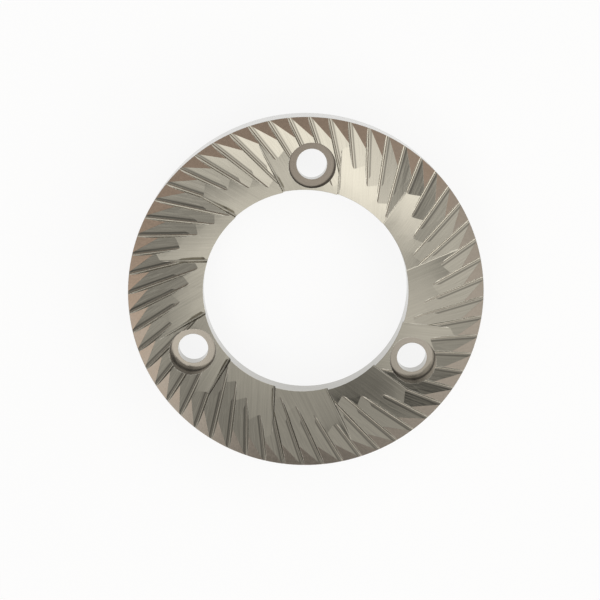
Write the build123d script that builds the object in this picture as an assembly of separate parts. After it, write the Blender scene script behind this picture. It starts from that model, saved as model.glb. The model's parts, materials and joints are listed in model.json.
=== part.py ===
from build123d import *
import os
from math import acos, asin, cos, degrees, radians, sin, sqrt, tan

os.makedirs("parts", exist_ok=True)

# A flat grinding burr lying on its back, cutting face up. Millimetres and degrees.
# The origin is the centre of the back face, +Z is the turning axis, and the first screw hole is on +Y.

# Turned blank
outer_dia = 64.0
thickness = 9.0
bore_dia = 37.4
rim_width = 3.0
recess_depth = 2.0
back_chamfer = 1.0
edge_break = 0.3

# Screw holes, sunk below the teeth. The web is the wall left between a counterbore and the bore.
screw_count = 3
screw_first = 90.0
screw_hole_dia = 5.5
counterbore_dia = 8.4
counterbore_depth = 3.8
counterbore_web = 0.35

# Fine teeth: straight grooves with a round root, a mere nick at the rim and deeper inwards
tooth_count = 56
tooth_first = 2.40
tooth_offset = 10.32
tooth_nick = 0.16
tooth_fall = 7.8
tooth_rake = 17.0
tooth_wall = 82.0
tooth_root_r = 0.4

# Breakers: broad scoops that open into the bore, cut across the inner ends of the fine teeth
breaker_count = 12
breaker_first = 15.06
breaker_offset = 4.76
breaker_inset = 3.4
breaker_fall = 19.6
breaker_rake_tip = 9.9
breaker_rake_bore = 16.5
breaker_wall = 87.0
breaker_root_r = 0.3

# How far the cutters pass the metal, and the width of a fine cutter in tooth spacings at the rim
overrun = 1.0
flank_cover = 1.35

outer_r = outer_dia / 2
bore_r = bore_dia / 2
screw_circle_r = bore_r + counterbore_web + counterbore_dia / 2
breaker_r = outer_r - breaker_inset


def distance_in(radius, offset):
    """Distance from the point nearest the axis to the given radius, along a line that passes the axis at offset."""
    return sqrt(radius ** 2 - offset ** 2)


def inward(radius, offset):
    """Level direction of a cut that starts at the radius on +X and passes the axis at offset."""
    lean = asin(offset / radius)
    return Vector(-cos(lean), -sin(lean), 0)


def section_plane(radius, offset, along, height, fall=0.0):
    """Plane square to a cut that falls inwards: local x points clockwise, local y points up."""
    level = inward(radius, offset)
    way = level - Vector(0, 0, fall)
    start = Vector(radius, 0, height) + way * along
    return Plane(origin=start, x_dir=(-level.Y, level.X, 0), z_dir=way)


def round_root(outline, radius):
    """Section of a cutter whose lowest corner is rounded."""
    sharp = make_face(outline)
    return fillet(sharp.vertices().sort_by(Axis.Y)[0], radius)


def blank():
    """Ring with a shallow recess turned into its back."""
    recess_r = outer_r - rim_width
    outline = Polyline(
        (bore_r, thickness),
        (outer_r, thickness),
        (outer_r, back_chamfer),
        (outer_r - back_chamfer, 0),
        (recess_r, 0),
        (recess_r, recess_depth),
        (bore_r + edge_break, recess_depth),
        (bore_r, recess_depth + edge_break),
        close=True,
    )
    return revolve(make_face(Plane.XZ * outline), Axis.Z)


def fine_groove():
    """Cutter for one fine groove: a shallow flank that rises clockwise, a round root and a steep wall behind it."""
    fall = tan(radians(tooth_fall))
    flank_wide = flank_cover * outer_r * radians(360 / tooth_count)
    length = distance_in(outer_r, tooth_offset) - distance_in(bore_r, tooth_offset) + 2 * overrun
    tall = fall * length + 2 * overrun
    outline = Polyline(
        (0, 0),
        (flank_wide, flank_wide * tan(radians(tooth_rake))),
        (flank_wide, tall),
        (-tall / tan(radians(tooth_wall)), tall),
        close=True,
    )
    plane = section_plane(outer_r, tooth_offset, -overrun, thickness - tooth_nick, fall)
    return extrude(plane * round_root(outline, tooth_root_r), amount=length * sqrt(1 + fall ** 2))


def breaker_outline(along, wide):
    """Section of a breaker cutter at a distance in from its tip."""
    fall = tan(radians(breaker_fall))
    at_bore = distance_in(breaker_r, breaker_offset) - distance_in(bore_r, breaker_offset)
    rake_tip = tan(radians(breaker_rake_tip))
    rake_bore = tan(radians(breaker_rake_bore))
    rake = rake_tip + (rake_bore - rake_tip) * along / at_bore
    root = -fall * along
    outline = Polyline(
        (0, root),
        (wide, root + rake * wide),
        (wide, 4 * thickness),
        (-(overrun - root) / tan(radians(breaker_wall)), overrun),
        close=True,
    )
    return section_plane(breaker_r, breaker_offset, along, thickness) * round_root(outline, breaker_root_r)


def breaker():
    """Cutter for one breaker, whose flank twists steeper towards the bore and stops at the next breaker's root."""
    step = 360 / breaker_count
    wide = bore_r
    reach = distance_in(breaker_r, breaker_offset) - bore_r * cos(asin(breaker_offset / bore_r) + radians(step))
    scoop = loft([breaker_outline(-overrun, wide), breaker_outline(reach + overrun, wide)], ruled=True)
    side = section_plane(breaker_r, breaker_offset, -outer_r, thickness)
    before_next = extrude(side * Pos(-outer_r, 0) * Rectangle(outer_dia, 4 * thickness), amount=3 * outer_r)
    return scoop & Rot(0, 0, -step) * before_next


def screw_hole():
    """Counterbored clearance hole, broken at the edge where it opens into the recess."""
    floor = thickness - counterbore_depth
    outline = Polyline(
        (0, recess_depth - overrun),
        (screw_hole_dia / 2 + edge_break + overrun, recess_depth - overrun),
        (screw_hole_dia / 2, recess_depth + edge_break),
        (screw_hole_dia / 2, floor),
        (counterbore_dia / 2, floor),
        (counterbore_dia / 2, thickness + overrun),
        (0, thickness + overrun),
        close=True,
    )
    return Pos(screw_circle_r, 0, 0) * revolve(make_face(Plane.XZ * outline), Axis.Z)


def around(cutter, count, first):
    """Copies of a cutter, evenly spaced round the axis."""
    return [Rot(0, 0, first + k * 360 / count) * cutter for k in range(count)]


def burr():
    """The burr: a turned ring, scooped, grooved and drilled."""
    body = blank()
    breaker_turn = degrees(acos(breaker_offset / breaker_r) - acos(breaker_offset / bore_r))
    body -= around(breaker(), breaker_count, breaker_first + breaker_turn)
    body -= around(fine_groove(), tooth_count, tooth_first)
    body -= around(screw_hole(), screw_count, screw_first)
    return body


part = burr()
part.label = "burr"
export_step(part, "parts/burr.step")
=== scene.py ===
# %% [markdown]
# # A flat coffee grinder burr
# The part is one ring of hardened steel, turned, milled and ground. Its shape comes whole from the CAD
# model, which this script loads as a fixed frame and never changes. What is left for Blender is how the
# steel looks: every cutter leaves its own marks, and the eye reads the teeth by them.
#
# The box round the CAD model is kept before anything else is made. The radii of the rim, the bore and the
# screw circle come from the frame too, because the cutter marks have to follow them.

# %% Load the frame
import json
import math

import bpy
from mathutils import Matrix, Vector


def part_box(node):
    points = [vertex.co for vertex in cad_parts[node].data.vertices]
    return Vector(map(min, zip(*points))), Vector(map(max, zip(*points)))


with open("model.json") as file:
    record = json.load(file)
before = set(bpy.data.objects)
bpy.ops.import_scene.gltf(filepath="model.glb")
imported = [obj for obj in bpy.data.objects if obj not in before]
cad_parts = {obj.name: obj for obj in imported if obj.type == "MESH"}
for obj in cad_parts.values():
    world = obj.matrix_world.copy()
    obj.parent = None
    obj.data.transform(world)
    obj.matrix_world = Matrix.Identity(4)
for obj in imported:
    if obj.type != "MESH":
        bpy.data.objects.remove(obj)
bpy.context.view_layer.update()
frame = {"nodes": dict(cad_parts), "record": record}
MM = 0.001
ring = frame["nodes"]["burr"]
low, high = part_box("burr")
face_height = high.z
rim_r = high.x / MM
fits = {mount["name"]: mount["dims"] for mount in frame["record"]["mounts"]}
bore_r = fits["bore"]["r_mm"]
screw_count = fits["screw_holes"]["count"]
screw_circle_r = fits["screw_holes"]["pcd_mm"] / 2
print("burr:", len(ring.data.polygons), "faces,", round((high.z - low.z) / MM, 2), "mm thick")
print("radius of the rim", rim_r, "of the bore", bore_r, "of the screw circle", screw_circle_r, "mm")

# %% [markdown]
# ## The camera
# The burr lies on its back, as it would on a bench, so a camera that sees its cutting face has to look down
# on it. It stands almost straight above, leaning 12 degrees towards the first screw hole, and is rolled a
# little. A long lens from 27 cm keeps the ring's circles nearly true, with a little more size on the near
# side.
#
# A constraint could aim the camera at the burr. Here the view is written as turns of the ring instead,
# which also fix the roll: the ring is turned about its own axis, then tipped about a level line. A camera
# sees the world turned the other way round, so the turns are inverted for it.

# %% Camera
LENS_MM, SENSOR_MM = 90.0, 36.0
NEAREST = 20 * MM
ROLL, TIP, TIP_LINE = -2.54, 12.19, 4.8
RING_IN_VIEW = Vector((1.11, 0.84, -269.86)) * MM


def turn(degrees, axis):
    """A turn about one axis, as a matrix."""
    return Matrix.Rotation(math.radians(degrees), 3, axis)


seen = turn(TIP_LINE, "Z") @ turn(TIP, "X") @ turn(-TIP_LINE, "Z") @ turn(ROLL, "Z")
stand = Vector((0, 0, face_height)) - seen.transposed() @ RING_IN_VIEW
camera = bpy.data.objects.new("camera", bpy.data.cameras.new("camera"))
camera.data.lens, camera.data.sensor_width = LENS_MM, SENSOR_MM
camera.data.clip_start = NEAREST
camera.matrix_world = Matrix.Translation(stand) @ seen.transposed().to_4x4()
bpy.context.collection.objects.link(camera)
bpy.context.scene.camera = camera
bpy.context.scene.view_settings.view_transform = "Standard"
print("camera at", [round(v / MM, 1) for v in stand], "mm")

# %% [markdown]
# ## Wiring nodes by hand
# A procedural finish is a small calculation made of nodes. It could be wired in the shader editor; in a
# script, a few helpers keep it readable. One empties a node tree, one adds a node, one feeds a socket from
# another socket or from a plain number, one adds a single sum, one runs smoothly from one number to
# another, and one takes a vector apart.

# %% Node helpers
def blank_tree(owner):
    """The node tree of a material or a world, emptied."""
    owner.use_nodes = True
    owner.node_tree.nodes.clear()
    return owner.node_tree


def add(tree, kind, **settings):
    """A new node with some of its settings changed."""
    made = tree.nodes.new(kind)
    for name, value in settings.items():
        setattr(made, name, value)
    return made


def feed(tree, socket, value):
    """Links a socket to another one, or sets it to a fixed value."""
    if isinstance(value, bpy.types.NodeSocket):
        tree.links.new(value, socket)
    else:
        socket.default_value = value


def calc(tree, operation, *values):
    """One sum: the result of a Math node."""
    made = add(tree, "ShaderNodeMath", operation=operation)
    for socket, value in zip(made.inputs, values):
        feed(tree, socket, value)
    return made.outputs[0]


def between(tree, value, start, end, low=0.0, high=1.0):
    """Runs smoothly from low to high while value goes from start to end."""
    made = add(tree, "ShaderNodeMapRange", interpolation_type="SMOOTHSTEP")
    for socket, number in zip(made.inputs, (value, start, end, low, high)):
        feed(tree, socket, number)
    return made.outputs[0]


def parts_of(tree, vector):
    """The x, y and z of a vector."""
    made = add(tree, "ShaderNodeSeparateXYZ")
    feed(tree, made.inputs[0], vector)
    return made.outputs


print("helpers for nodes are ready")

# %% [markdown]
# ## The floor
# A plain pale floor carries the burr and its shadow: a wide sheet of matt white card. Lit card alone comes
# out a little grey, and more light would bleach the steel. So part of its white is its own glow, for the
# camera and for mirrors, and the rest is ordinary lit card, which keeps the shadow.

# %% Floor
FLOOR_SIZE, FLOOR_GAP = 6.0, 0.02 * MM
CARD_WHITE = (0.92, 0.92, 0.92, 1.0)
GLOW_WHITE = (1.0, 1.0, 1.0, 1.0)
GLOW_SHARE = 0.86

bpy.ops.object.select_all(action="DESELECT")
bpy.ops.mesh.primitive_plane_add(size=FLOOR_SIZE, location=(0, 0, -FLOOR_GAP))
floor = bpy.context.active_object
floor.name = "floor"
card = bpy.data.materials.new("white_card")
tree = blank_tree(card)
ray = add(tree, "ShaderNodeLightPath")
matt = add(tree, "ShaderNodeBsdfDiffuse")
matt.inputs["Color"].default_value = CARD_WHITE
glow = add(tree, "ShaderNodeEmission")
glow.inputs["Color"].default_value = GLOW_WHITE
looked_at = calc(tree, "MAXIMUM", ray.outputs["Is Camera Ray"], ray.outputs["Is Glossy Ray"])
looked_at = calc(tree, "MAXIMUM", looked_at, ray.outputs["Is Transmission Ray"])
both = add(tree, "ShaderNodeMixShader")
feed(tree, both.inputs[0], calc(tree, "MULTIPLY", looked_at, GLOW_SHARE))
feed(tree, both.inputs[1], matt.outputs[0])
feed(tree, both.inputs[2], glow.outputs[0])
feed(tree, add(tree, "ShaderNodeOutputMaterial").inputs["Surface"], both.outputs[0])
floor.data.materials.append(card)
print("floor:", floor.dimensions[:2], "m")

# %% [markdown]
# ## The light
# Steel shows what stands round it, so the studio is planned by what each flank mirrors. A picture of a room
# could light it, but the teeth need light and dark in chosen places. A white tent surrounds the bench,
# bright low down and dimmer towards the top, where the camera looks in, so the level lands come out darker
# than the flanks. Soft patches of the tent are lighter or darker than the rest: cloth that is lit from
# outside, and black flags that give the teeth their contrast. Each patch is a direction from the burr, the
# angles at which it starts and is full, and how much brightness it adds.

# %% Tent
TENT_COLOUR = (1.0, 0.985, 0.955, 1.0)
TENT_TOP, TENT_LOW, TENT_DARKEST = 0.62, 1.42, 0.08
TOP_HEIGHT, LOW_HEIGHT = 0.9, 0.5
TENT_PATCHES = {
    "window": ((-0.38, -0.58, 0.72), (22, 8), 1.19),
    "left_cloth": ((-0.45, 0.10, 0.88), (19, 6), 0.46),
    "roof_cloth": ((0.12, -0.17, 0.98), (7, 3), 0.30),
    "front_cloth": ((-0.15, -0.42, 0.87), (8, 4), 0.81),
    "arc_cloth": ((-0.26, -0.20, 0.92), (9, 4), 0.74),
    "left_card": ((-0.065, -0.265, 0.962), (5, 2), 1.01),
    "right_card": ((0.155, -0.24, 0.96), (5, 2), 0.34),
    "crown_flag": ((0.08, 0.10, 0.99), (12, 5), -0.35),
    "lens_flag": ((0.31, -0.08, 0.95), (9, 4), -0.32),
    "roof_flag": ((0.0, 0.39, 0.92), (8, 3), -0.46),
    "far_flag": ((-0.14, 0.48, 0.87), (9, 3), -0.32),
    "back_cloth": ((0.24, 0.30, 0.92), (10, 4), 0.11),
    "front_flag": ((0.24, -0.60, 0.76), (17, 6), -0.49),
    "right_flag": ((0.50, -0.20, 0.84), (20, 6), -0.23),
    "low_flag": ((0.0, -0.32, 0.95), (6, 2), -0.49),
    "gap_flag": ((-0.52, -0.18, 0.84), (10, 3), -0.27),
    "sill_flag": ((-0.66, -0.58, 0.42), (22, 10), -1.08),
    "front_sill": ((-0.35, -0.86, 0.36), (20, 10), -0.81),
    "back_flag": ((-0.35, 0.93, 0.10), (50, 34), -0.94),
    "left_flag": ((-0.96, 0.05, 0.05), (46, 34), -0.94),
}


def patch(tree, way, middle, angles):
    """A soft round patch of the tent: 0 outside the first angle, 1 inside the second."""
    aim = add(tree, "ShaderNodeVectorMath", operation="DOT_PRODUCT")
    feed(tree, aim.inputs[0], way)
    aim.inputs[1].default_value = Vector(middle).normalized()
    edge, full = (math.cos(math.radians(angle)) for angle in angles)
    return between(tree, aim.outputs["Value"], edge, full)


world = bpy.data.worlds.new("tent")
bpy.context.scene.world = world
tree = blank_tree(world)
way = add(tree, "ShaderNodeTexCoord").outputs["Generated"]
height = parts_of(tree, way)["Z"]
brightness = between(tree, height, TOP_HEIGHT, LOW_HEIGHT, TENT_TOP, TENT_LOW)
for middle, angles, change in TENT_PATCHES.values():
    added = calc(tree, "MULTIPLY", patch(tree, way, middle, angles), change)
    brightness = calc(tree, "ADD", brightness, added)
cloth = add(tree, "ShaderNodeBackground")
cloth.inputs["Color"].default_value = TENT_COLOUR
feed(tree, cloth.inputs["Strength"], calc(tree, "MAXIMUM", brightness, TENT_DARKEST))
feed(tree, add(tree, "ShaderNodeOutputWorld").inputs["Surface"], cloth.outputs[0])
print("tent with", len(TENT_PATCHES), "patches")

# %% [markdown]
# ## Two soft boxes
# Two narrow soft boxes stand inside the tent, one at the right front and one behind, both low enough that
# the flanks do not mirror them. They catch the edges and steep walls of the teeth as thin bright lines, and
# deepen the burr's shadow. They could be more patches of the tent, but Blender aims its samples at an area
# light, so a narrow one comes out with less grain.

# %% Soft boxes
BOX_DISTANCE, BOX_LENGTH, BOX_WIDTH = 0.9, 0.9, 0.14
BOX_COLOUR = (1.0, 0.98, 0.94)
SOFT_BOXES = {
    "front_strip": ((0.68, -0.60, 0.38), 2.6),
    "back_strip": ((-0.10, 0.80, 0.60), 1.5),
}


def soft_box(name, side, cloth_brightness):
    """A soft box that faces the burr. Its power is worked out from how bright its cloth looks."""
    lamp = bpy.data.lights.new(name, "AREA")
    lamp.shape, lamp.size, lamp.size_y = "RECTANGLE", BOX_LENGTH, BOX_WIDTH
    lamp.energy = cloth_brightness * math.pi * BOX_LENGTH * BOX_WIDTH
    lamp.color = BOX_COLOUR
    side = Vector(side).normalized()
    facing = side.to_track_quat("Z", "Y").to_matrix().to_4x4()
    made = bpy.data.objects.new(name, lamp)
    made.matrix_world = Matrix.Translation(side * BOX_DISTANCE) @ facing
    made.visible_camera = False
    bpy.context.collection.objects.link(made)
    print(name, "at", [round(v, 2) for v in side * BOX_DISTANCE], "m,", round(lamp.energy, 2), "W")


for name, (side, cloth_brightness) in SOFT_BOXES.items():
    soft_box(name, side, cloth_brightness)

# %% [markdown]
# ## Where on the burr a point is
# The finish changes from place to place, so the material first works out where it is, in millimetres from
# the middle of the back: the distance from the turning axis, the bearing round it, and how the surface
# leans. This could be painted onto the mesh, but all of it follows from Object coordinates, which stay with
# the burr.

# %% Places
def span(tree, one, other):
    """How far a point is from the middle, from its distances along two square directions."""
    squares = calc(tree, "ADD", calc(tree, "MULTIPLY", one, one), calc(tree, "MULTIPLY", other, other))
    return calc(tree, "SQRT", squares)


steel = bpy.data.materials.new("cut_steel")
tree = blank_tree(steel)
spot = add(tree, "ShaderNodeTexCoord")
in_mm = add(tree, "ShaderNodeVectorMath", operation="SCALE")
feed(tree, in_mm.inputs[0], spot.outputs["Object"])
in_mm.inputs["Scale"].default_value = 1 / MM
place = in_mm.outputs[0]
x, y, z = parts_of(tree, place)
radius = span(tree, x, y)
bearing = calc(tree, "ARCTAN2", y, x)
lean_x, lean_y, up = parts_of(tree, spot.outputs["Normal"])
outward = calc(tree, "ADD", calc(tree, "MULTIPLY", lean_x, x), calc(tree, "MULTIPLY", lean_y, y))
outward = calc(tree, "DIVIDE", outward, radius)
print("places: radius, bearing, height and lean")

# %% [markdown]
# ## Marks along the teeth
# The fine teeth and the broad breakers are cut by wheels that run in straight lines past the axis, so their
# marks are straight and parallel within one cut, and turn with the ring from cut to cut. An image could not
# follow that, but a noise can. A line that passes the axis at a fixed offset has one foot, the point nearest
# the axis, and the bearing of that foot says which cut a point belongs to. Turning the point back by whole
# cuts puts every cut on top of the first one, where one stretched noise draws its marks. The number of the
# cut shifts the noise, so no two are alike.

# %% Cutter marks
TOOTH_COUNT, TOOTH_FIRST, TOOTH_OFFSET, TOOTH_GRAIN = 56, 2.40, 10.32, (4.0, 0.15)
BREAKER_COUNT, BREAKER_FIRST, BREAKER_OFFSET, BREAKER_GRAIN = 12, 15.06, 4.76, (3.2, 0.08)
STREAK_DETAIL, STREAK_ROUGHNESS = 4.0, 0.62
SHIFT_PER_CUT = 7.3


def noise(tree, where, scale, detail, roughness=0.5):
    """Noise at a place, from 0 to 1."""
    made = add(tree, "ShaderNodeTexNoise")
    inputs = {"Vector": where, "Scale": scale, "Detail": detail, "Roughness": roughness}
    for name, value in inputs.items():
        feed(tree, made.inputs[name], value)
    return made.outputs[0]


def streaks(tree, across, along, shift, grain):
    """Noise drawn out along one direction. The grain says how close the marks lie across and along."""
    where = add(tree, "ShaderNodeCombineXYZ")
    feed(tree, where.inputs[0], calc(tree, "MULTIPLY", across, grain[0]))
    feed(tree, where.inputs[1], calc(tree, "MULTIPLY", along, grain[1]))
    feed(tree, where.inputs[2], shift)
    return noise(tree, where.outputs[0], 1.0, STREAK_DETAIL, STREAK_ROUGHNESS)


def turned_back(tree, first, number, pitch):
    """The point's x and y once the cut or hole of that number is turned back from its bearing onto +X."""
    turned = add(tree, "ShaderNodeVectorRotate", rotation_type="Z_AXIS")
    feed(tree, turned.inputs["Vector"], place)
    feed(tree, turned.inputs["Angle"], calc(tree, "SUBTRACT", -first, calc(tree, "MULTIPLY", number, pitch)))
    return parts_of(tree, turned.outputs[0])[:2]


def cut_marks(tree, count, first, start, offset, grain):
    """Marks of straight cuts that pass the axis at an offset; the first starts on its bearing at a radius.

    Also gives how far a point lies from the line of its own cut.
    """
    pitch = math.tau / count
    first_foot = math.radians(first) - math.acos(offset / start)
    foot = calc(tree, "SUBTRACT", bearing, calc(tree, "ARCCOSINE", calc(tree, "DIVIDE", offset, radius)))
    number = calc(tree, "CEIL", calc(tree, "DIVIDE", calc(tree, "SUBTRACT", foot, first_foot), pitch))
    across, along = turned_back(tree, first_foot, number, pitch)
    marks = streaks(tree, across, along, calc(tree, "MULTIPLY", number, SHIFT_PER_CUT), grain)
    return marks, calc(tree, "SUBTRACT", across, offset)


tooth_marks, from_root = cut_marks(tree, TOOTH_COUNT, TOOTH_FIRST, rim_r, TOOTH_OFFSET, TOOTH_GRAIN)
breaker_marks, _ = cut_marks(tree, BREAKER_COUNT, BREAKER_FIRST, bore_r, BREAKER_OFFSET, BREAKER_GRAIN)
print("marks of", TOOTH_COUNT, "teeth and", BREAKER_COUNT, "breakers")

# %% [markdown]
# ## Marks of turning
# The rim, the bore and the back are turned, which leaves fine rings round the axis, so one noise drawn out
# along the bearing serves them. The counterbores have rings of their own round the screw holes. Each could
# have its own material, but it is less work to turn every hole back onto the first one.

# %% Rings
RING_GRAIN, RING_SHIFT, RING_CLIMB = (5.0, 1.2), 3.1, 0.83
SCREW_FIRST, SCREW_GRAIN = 90.0, (5.0, 0.8)

climbing = calc(tree, "ADD", radius, calc(tree, "MULTIPLY", z, RING_CLIMB))
ring_marks = streaks(tree, climbing, bearing, RING_SHIFT, RING_GRAIN)
screw_pitch = math.tau / screw_count
first_screw = math.radians(SCREW_FIRST)
from_first = calc(tree, "SUBTRACT", bearing, first_screw)
screw = calc(tree, "ROUND", calc(tree, "DIVIDE", from_first, screw_pitch))
outwards, sideways = turned_back(tree, first_screw, screw, screw_pitch)
aside = calc(tree, "SUBTRACT", outwards, screw_circle_r)
from_screw = span(tree, aside, sideways)
round_screw = calc(tree, "ARCTAN2", sideways, aside)
screw_marks = streaks(tree, calc(tree, "ADD", from_screw, z), round_screw, screw, SCREW_GRAIN)
print("rings round the axis and round", screw_count, "screw holes")

# %% [markdown]
# ## Which cut a surface belongs to
# The slope of the surface tells the cuts apart: lands and counterbore floors are level, the flanks of the
# teeth and breakers lean, and of those two the breakers lean inwards most. Everything else was turned. The
# lands are ground last, with a fine wheel that leaves only an even speckle. Separate materials on chosen
# faces could do this too, but the slope needs no list of faces.

# %% Cuts told apart
UPRIGHT, LEVEL = 0.03, 0.985
SCOOPED_LEAN = -0.25
COUNTERBORE_R, COUNTERBORE_MARGIN = 4.2, 0.02
SPECKLE_SCALE, SPECKLE_DETAIL = 2.5, 3.0


def blend(tree, share, one, other):
    """Number one where share is 0, the other where it is 1."""
    made = add(tree, "ShaderNodeMix", data_type="FLOAT")
    feed(tree, made.inputs[0], share)
    feed(tree, made.inputs[2], one)
    feed(tree, made.inputs[3], other)
    return made.outputs[0]


leaning = calc(tree, "MULTIPLY", calc(tree, "GREATER_THAN", up, UPRIGHT), calc(tree, "LESS_THAN", up, LEVEL))
level = calc(tree, "GREATER_THAN", up, LEVEL)
scooped = calc(tree, "LESS_THAN", outward, SCOOPED_LEAN)
sunk = calc(tree, "LESS_THAN", from_screw, COUNTERBORE_R + COUNTERBORE_MARGIN)
speckle = noise(tree, place, SPECKLE_SCALE, SPECKLE_DETAIL)
marks = blend(tree, level, ring_marks, speckle)
marks = blend(tree, sunk, marks, screw_marks)
marks = blend(tree, leaning, marks, blend(tree, scooped, tooth_marks, breaker_marks))
print("cuts told apart by slope")

# %% [markdown]
# ## Colour
# Bare tool steel is a warm grey, lightest where it was turned. The ground lands are browned on one side of
# the ring, partly a tarnish from the heat and the oil of grinding and partly a painted reflection of a brown
# thing that stands on that side, and the brown fades out in clouds some millimetres wide. The counterbore
# floors are paler than the lands. One plain grey would be simpler, but most of these shifts tell how each
# face was made. The marks lighten and darken the colour slightly.

# %% Steel colours
CUT_STEEL = (0.38, 0.36, 0.308, 1.0)
TURNED_STEEL = (0.46, 0.45, 0.42, 1.0)
GROUND_STEEL = (0.35, 0.313, 0.268, 1.0)
TARNISH_AND_REFLECTION_STEEL = (0.356, 0.272, 0.21, 1.0)
SUNK_STEEL, SUNK_SHARE = (0.445, 0.415, 0.363, 1.0), 0.6
BROWN_SIDE_X, BROWN_SIDE_Y = -0.5, 0.87
BROWN_SIDE_START, BROWN_SIDE_FULL, LEAST_BROWN = -8.0, 22.0, 0.1
CLOUD_SCALE, CLOUD_DETAIL, CLOUD_SWING = 0.16, 5.0, 40.0
DARKEST_MARK, LIGHTEST_MARK = 0.25, 0.75


def tint(tree, share, one, other, kind="MIX"):
    """Colour one where share is 0, the other where it is 1."""
    made = add(tree, "ShaderNodeMix", data_type="RGBA", blend_type=kind)
    feed(tree, made.inputs[0], share)
    feed(tree, made.inputs[6], one)
    feed(tree, made.inputs[7], other)
    return made.outputs[2]


def by_cut(tree, tooth, breaker, land):
    """One number for the teeth, one for the breakers and one for the lands.

    A turned wall takes the breakers' number where it faces the axis, and the teeth's elsewhere.
    """
    return blend(tree, level, blend(tree, scooped, tooth, breaker), land)


cloud = calc(tree, "SUBTRACT", noise(tree, place, CLOUD_SCALE, CLOUD_DETAIL), 0.5)
# Partly painted reflection: the lands grow browner towards one side, part tarnish and part the mirrored
# brown of a thing beside the burr.
toward_brown_side = calc(tree, "ADD", calc(tree, "MULTIPLY", y, BROWN_SIDE_Y), calc(tree, "MULTIPLY", x, BROWN_SIDE_X))
toward_brown_side = calc(tree, "ADD", toward_brown_side, calc(tree, "MULTIPLY", cloud, CLOUD_SWING))
tarnish_and_reflection = between(tree, toward_brown_side, BROWN_SIDE_START, BROWN_SIDE_FULL, LEAST_BROWN, 1.0)
ground = tint(tree, tarnish_and_reflection, GROUND_STEEL, TARNISH_AND_REFLECTION_STEEL)
ground = tint(tree, calc(tree, "MULTIPLY", sunk, SUNK_SHARE), ground, SUNK_STEEL)
colour = tint(tree, leaning, TURNED_STEEL, CUT_STEEL)
colour = tint(tree, level, colour, ground)
contrast = by_cut(tree, tooth=0.11, breaker=0.07, land=0.06)
shade = between(tree, marks, DARKEST_MARK, LIGHTEST_MARK, -1.0, 1.0)
shade = calc(tree, "ADD", 1.0, calc(tree, "MULTIPLY", shade, contrast))
grey = add(tree, "ShaderNodeCombineColor")
for socket in grey.inputs[:3]:
    feed(tree, socket, shade)
colour = tint(tree, 1.0, colour, grey.outputs[0], "MULTIPLY")
print("cut steel", CUT_STEEL[:3], "ground steel", GROUND_STEEL[:3], "to", TARNISH_AND_REFLECTION_STEEL[:3])

# %% [markdown]
# ## Edges
# No real edge is perfectly sharp, and on bare steel the edges are what catches the light. Beveling the mesh
# would change a shape that is fixed, so the Bevel node rounds only the shading, over less than a tenth of a
# millimetre. Where the rounded direction differs from the plain one, the colour is made lighter: partly
# steel rubbed bright by use, partly a painted highlight along every edge.

# %% Rounded edges
EDGE_RADIUS, EDGE_SAMPLES = 0.08 * MM, 6
RUBBED_AND_HIGHLIGHT_STEEL, RUBBED_AND_HIGHLIGHT_SHARE = (0.66, 0.64, 0.60, 1.0), 0.7
EDGE_BRIGHT_START, EDGE_BRIGHT_FULL = 0.995, 0.93

round_edge = add(tree, "ShaderNodeBevel", samples=EDGE_SAMPLES)
round_edge.inputs["Radius"].default_value = EDGE_RADIUS
plain = add(tree, "ShaderNodeNewGeometry")
same = add(tree, "ShaderNodeVectorMath", operation="DOT_PRODUCT")
feed(tree, same.inputs[0], round_edge.outputs[0])
feed(tree, same.inputs[1], plain.outputs["True Normal"])
# Partly wear and partly painted highlight: the colour is lightened along every edge.
rubbed_and_highlight = between(tree, same.outputs["Value"], EDGE_BRIGHT_START, EDGE_BRIGHT_FULL)
colour = tint(tree, calc(tree, "MULTIPLY", rubbed_and_highlight, RUBBED_AND_HIGHLIGHT_SHARE), colour, RUBBED_AND_HIGHLIGHT_STEEL)
print("edges rounded over", round(EDGE_RADIUS / MM, 3), "mm")

# %% [markdown]
# ## Painted shade in corners and roots
# The corners are darkened with painted shade. It could be painted corner by corner, but Ambient Occlusion
# finds every corner by itself: it is low where other steel stands close by. A thin dark line of painted
# shade also runs along the root of every fine groove, drawn by the distance from the line of the cut.

# %% Dark corners
SHADE_COLOUR = (0.05, 0.043, 0.035, 1.0)
CORNER_REACH, CORNER_SAMPLES = 0.5 * MM, 8
CORNER_OPEN, CORNER_CLOSED, CORNER_SHARE = 0.95, 0.5, 0.85
ROOT_START, ROOT_DARK, ROOT_FADE, ROOT_END = 0.52, 0.65, 0.76, 0.98
ROOT_SHARE = 0.55

corner = add(tree, "ShaderNodeAmbientOcclusion", samples=CORNER_SAMPLES, only_local=True)
corner.inputs["Distance"].default_value = CORNER_REACH
# Painted shade: the corners darken where Ambient Occlusion is low.
painted_shade = between(tree, corner.outputs["AO"], CORNER_OPEN, CORNER_CLOSED)
painted_shade = calc(tree, "MULTIPLY", painted_shade, CORNER_SHARE)
tooth_flank = calc(tree, "MULTIPLY", leaning, calc(tree, "SUBTRACT", 1.0, scooped))
# Painted shade: a dark line along the root of each fine groove, in its crease.
darkens = between(tree, from_root, ROOT_START, ROOT_DARK)
fades = between(tree, from_root, ROOT_END, ROOT_FADE)
root_shade_line = calc(tree, "MULTIPLY", calc(tree, "MULTIPLY", darkens, fades), tooth_flank)
painted_shade = calc(tree, "MAXIMUM", painted_shade, calc(tree, "MULTIPLY", root_shade_line, ROOT_SHARE))
colour = tint(tree, painted_shade, colour, SHADE_COLOUR)
print("dark corners up to", round(CORNER_REACH / MM, 2), "mm and a line in each root")

# %% [markdown]
# ## Relief and roughness
# The grinding wheel is round, so a tooth's flank is hollow near its root, by less than a tenth of a
# millimetre. That is too little to be worth triangles, so a Bump node draws it, together with the cutter
# marks. The hollow starts out of the flank smoothly and has its full slope at the line of the cut. The marks
# also make the steel a little smoother or rougher. The lands keep almost none of this, because they are
# ground flat.

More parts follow.
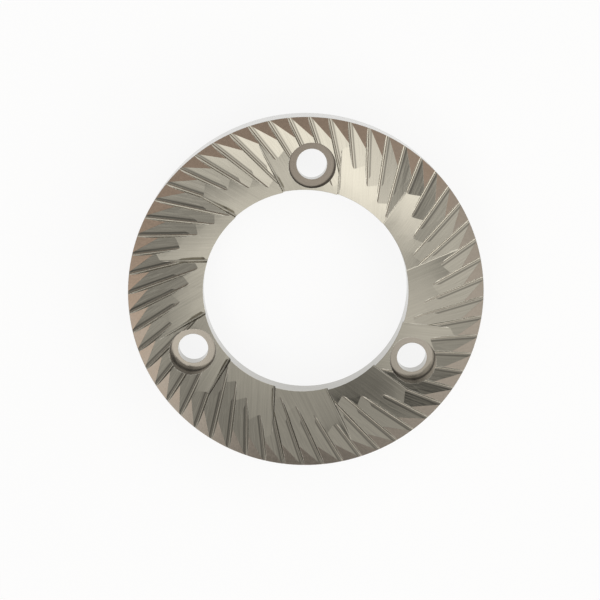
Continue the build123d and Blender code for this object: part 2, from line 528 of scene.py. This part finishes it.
# %% Relief
HOLLOW_REACH, HOLLOW_SLOPE, HOLLOW_POWER = 1.3, 0.16, 3.0
MARK_DEPTH = 0.004
CUT_ROUGH, LAND_ROUGH = 0.13, 0.15
SMOOTH_MARK, ROUGH_MARK = 0.3, 0.7
SMOOTHER_BY, ROUGHER_BY = -0.05, 0.07

to_root = calc(tree, "SUBTRACT", 1.0, calc(tree, "DIVIDE", from_root, HOLLOW_REACH))
to_root = calc(tree, "MAXIMUM", to_root, 0.0)
hollow_height = HOLLOW_SLOPE * HOLLOW_REACH / HOLLOW_POWER
hollow = calc(tree, "MULTIPLY", calc(tree, "POWER", to_root, HOLLOW_POWER), hollow_height)
hollow = calc(tree, "MULTIPLY", tooth_flank, hollow)
depth = by_cut(tree, tooth=1.0, breaker=0.5, land=0.1)
scratches = calc(tree, "MULTIPLY", calc(tree, "MULTIPLY", marks, MARK_DEPTH), depth)
relief = add(tree, "ShaderNodeBump")
relief.inputs["Strength"].default_value = 1.0
relief.inputs["Distance"].default_value = MM
feed(tree, relief.inputs["Height"], calc(tree, "ADD", hollow, scratches))
feed(tree, relief.inputs["Normal"], round_edge.outputs[0])
spread = by_cut(tree, tooth=1.0, breaker=0.6, land=0.1)
change = between(tree, marks, SMOOTH_MARK, ROUGH_MARK, SMOOTHER_BY, ROUGHER_BY)
rough = blend(tree, level, CUT_ROUGH, LAND_ROUGH)
rough = calc(tree, "ADD", rough, calc(tree, "MULTIPLY", change, spread))
print("hollow up to", round(hollow_height, 3), "mm, marks up to", MARK_DEPTH, "mm")

# %% [markdown]
# ## The steel
# All of it meets in one metal shader. A metal has no colour of its own but that of its mirror image, so the
# base colour tints what the steel reflects, and roughness decides how sharply it reflects. One material
# serves the whole ring, because the ring is one piece of steel.

# %% Steel on the burr
shader = add(tree, "ShaderNodeBsdfPrincipled")
shader.inputs["Metallic"].default_value = 1.0
feed(tree, shader.inputs["Base Color"], colour)
feed(tree, shader.inputs["Roughness"], rough)
feed(tree, shader.inputs["Normal"], relief.outputs[0])
feed(tree, add(tree, "ShaderNodeOutputMaterial").inputs["Surface"], shader.outputs[0])
for slot in ring.material_slots:
    slot.material = steel
print("steel on", len(ring.material_slots), "slot,", len(tree.nodes), "nodes")
